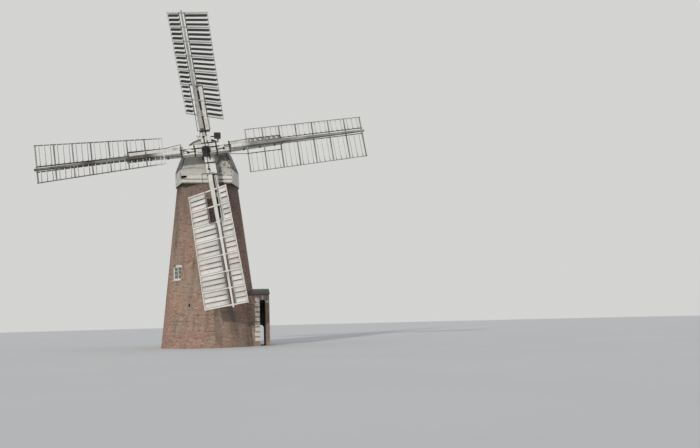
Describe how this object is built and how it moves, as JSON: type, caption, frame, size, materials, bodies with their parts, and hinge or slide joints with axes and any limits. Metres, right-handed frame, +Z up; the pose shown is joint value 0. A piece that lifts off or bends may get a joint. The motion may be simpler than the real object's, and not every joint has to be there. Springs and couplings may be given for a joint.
{
  "type": "traditional brick tower windmill",
  "caption": "Tapered round brick tower mill with a boat-shaped boarded cap, four double-shuttered sails, a fantail and a scoop wheel hood.",
  "frame": {"origin": "centre of the tower's foot, on the ground", "axes": "+Z up the tower's axis, -Y out of the front, towards which the sails face"},
  "size_m": [18.6778, 8.9801, 20.2005],
  "materials": {
    "brick": "weathered brick in lime mortar",
    "floor_boards": "bare boards",
    "slab": "brick and mortar floor",
    "white_board": "weathered white paint on boards",
    "roof_board": "weathered grey paint on boards",
    "white_timber": "weathered white paint on timber",
    "cap_timber": "bare oak",
    "tarred_board": "tarred boards",
    "canvas": "white painted canvas",
    "black_iron": "black painted iron",
    "window_glass": "old window glass"
  },
  "bodies": {
    "tower": {"tower_wall_1": "brick", "tower_wall_2": "brick", "tower_wall_3": "brick", "tower_wall_4": "brick", "tower_wall_5": "brick", "tower_wall_6": "brick", "tower_wall_7": "brick", "tower_wall_8": "brick", "ground_floor": "slab", "first_floor": "floor_boards", "curb": "cap_timber", "window_frames": "white_timber", "window_panes": "window_glass", "door_frame": "tarred_board", "door_leaf": "tarred_board", "hood_walls": "brick", "window_sills": "white_timber", "hood_cover": "tarred_board"},
    "cap": {"cap_ring": "cap_timber", "sheers": "cap_timber", "weather_beam": "cap_timber", "tail_beam": "cap_timber", "front_gable": "white_board", "rear_gable": "white_board", "roof_left": "roof_board", "roof_right": "roof_board", "ridge_board": "roof_board", "petticoat": "white_board", "fan_stage": "floor_boards", "fan_posts": "white_timber", "gable_rails": "white_board", "fan_gear_case": "black_iron"},
    "sails": {"windshaft": "black_iron", "poll_end": "black_iron", "stock_upright": "white_timber", "stock_level": "white_timber", "stock_clamps": "white_timber", "striking_gear": "black_iron", "shutter_bars": "black_iron", "bell_cranks": "black_iron", "whips": "white_timber", "sail_frames": "white_timber", "shutters_1": "canvas", "shutters_2": "canvas", "shutters_3": "canvas", "shutters_4": "canvas"},
    "fan": {"fan_shaft": "black_iron", "fan_blades": "white_timber"}
  },
  "joints": [
    {"name": "cap_turn", "type": "hinge", "parent": "tower", "child": "cap", "pos_m": [0, 0, 9.758], "axis": [0, 0, 1], "continuous": true},
    {"name": "sails_turn", "type": "hinge", "parent": "cap", "child": "sails", "pos_m": [0, -2.1, 11.15], "axis": [0, -0.9703, 0.2419], "continuous": true},
    {"name": "fan_turn", "type": "hinge", "parent": "cap", "child": "fan", "pos_m": [0.02, 3.3, 13.385], "axis": [1, 0, 0], "continuous": true}
  ]
}
